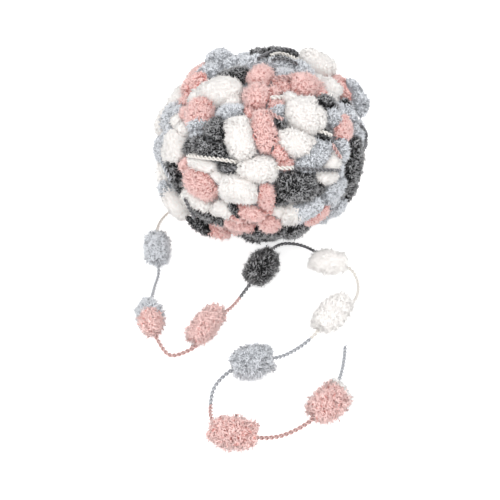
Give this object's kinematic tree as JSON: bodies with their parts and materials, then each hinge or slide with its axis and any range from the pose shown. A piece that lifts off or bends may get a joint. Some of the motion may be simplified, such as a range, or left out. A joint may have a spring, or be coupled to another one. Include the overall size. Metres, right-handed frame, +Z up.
{
  "type": "ball of pompom knitting yarn",
  "caption": "Wound ball of soft pompom yarn with its loose end of chained thread and pompoms laid in loops in front of it.",
  "frame": {"origin": "middle of the flat spot that the wound ball rests on, on the floor", "axes": "+Z up; -Y from the ball towards the loose end laid in front of it; +X to the right seen from there"},
  "size_m": [0.1239, 0.2267, 0.0974],
  "materials": {
    "ball_yarn": "deep plush pile in pale pink, white, light grey and dark grey, matt",
    "core_thread": "chained core thread, dyed in turn white, light grey, pink and dark grey, matt",
    "pompom_light_grey": "plush pile, light grey, matt",
    "pompom_grey_to_pink": "plush pile, light grey turning pink halfway, matt",
    "pompom_pink": "plush pile, pale pink, matt",
    "pompom_dark_grey": "plush pile, dark grey, matt",
    "pompom_white": "plush pile, off-white, matt",
    "pompom_pink_to_white": "plush pile, pale pink turning off-white at one end, matt"
  },
  "bodies": {
    "root": {"wound_ball": "ball_yarn", "loose_end": "core_thread", "pompom_1": "pompom_light_grey", "pompom_2": "pompom_grey_to_pink", "pompom_3": "pompom_pink", "pompom_4": "pompom_dark_grey", "pompom_5": "pompom_white", "pompom_6": "pompom_white", "pompom_7": "pompom_light_grey", "pompom_8": "pompom_pink", "pompom_9": "pompom_pink_to_white"}
  },
  "joints": []
}
